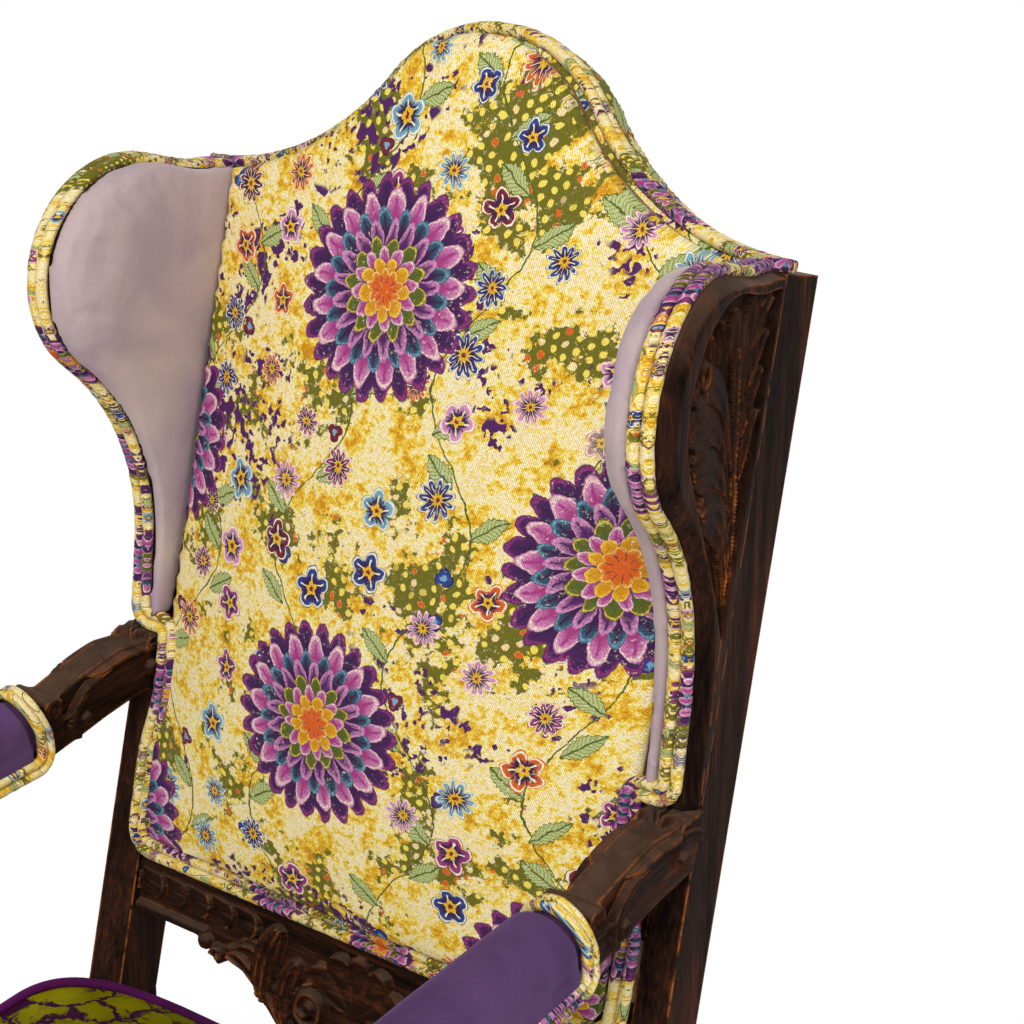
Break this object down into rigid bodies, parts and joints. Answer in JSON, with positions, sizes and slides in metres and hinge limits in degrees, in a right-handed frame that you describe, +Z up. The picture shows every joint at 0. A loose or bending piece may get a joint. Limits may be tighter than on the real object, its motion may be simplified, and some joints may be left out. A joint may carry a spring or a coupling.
{
  "type": "wing chair",
  "caption": "High-backed wing chair: dark carved oak frame, arched back in floral print, velvet wings and padded arms, stuffed seat. Free-standing, for one sitter.",
  "frame": {"origin": "on the floor, under the middle of the chair's box", "axes": "+Z up, the sitter faces -Y, +X is the right side as seen from the front"},
  "size_m": [0.5934, 0.7838, 1.2954],
  "materials": {
    "oak": "dark stained and waxed, worn on the arrises",
    "print_fabric": "woven cotton with a floral print",
    "wing_velvet": "short-pile velvet",
    "arm_velvet": "short-pile velvet",
    "seat_velvet": "cut velvet with a crackle pattern",
    "piping_velvet": "velvet-covered cord",
    "webbing": "jute webbing",
    "hessian": "plain jute cloth",
    "dust_cloth": "thin black cloth",
    "screw_steel": "bright steel"
  },
  "bodies": {
    "root": {"apron_rail": "oak", "arm_left": "oak", "arm_pad_left": "arm_velvet", "arm_pad_right": "arm_velvet", "arm_right": "oak", "arm_welt_left": "print_fabric", "arm_welt_right": "print_fabric", "back_hessian": "hessian", "back_pad": "print_fabric", "back_webbing": "webbing", "back_welt": "print_fabric", "block_screws": "screw_steel", "corner_blocks": "oak", "crest_rail": "oak", "crest_welt": "print_fabric", "cross_stretcher": "oak", "dust_cover": "dust_cloth", "front_leg_left": "oak", "front_leg_right": "oak", "outside_back": "wing_velvet", "rear_stile_left": "oak", "rear_stile_right": "oak", "rear_stretcher": "oak", "seat_hessian": "hessian", "seat_pad": "seat_velvet", "seat_piping": "piping_velvet", "seat_rail_front": "oak", "seat_rail_left": "oak", "seat_rail_rear": "oak", "seat_rail_right": "oak", "seat_webbing": "webbing", "side_stretcher_left": "oak", "side_stretcher_right": "oak", "wing_board_left": "oak", "wing_board_right": "oak", "wing_pad_left": "wing_velvet", "wing_pad_right": "wing_velvet", "wing_welt_left": "print_fabric", "wing_welt_right": "print_fabric"}
  },
  "joints": []
}
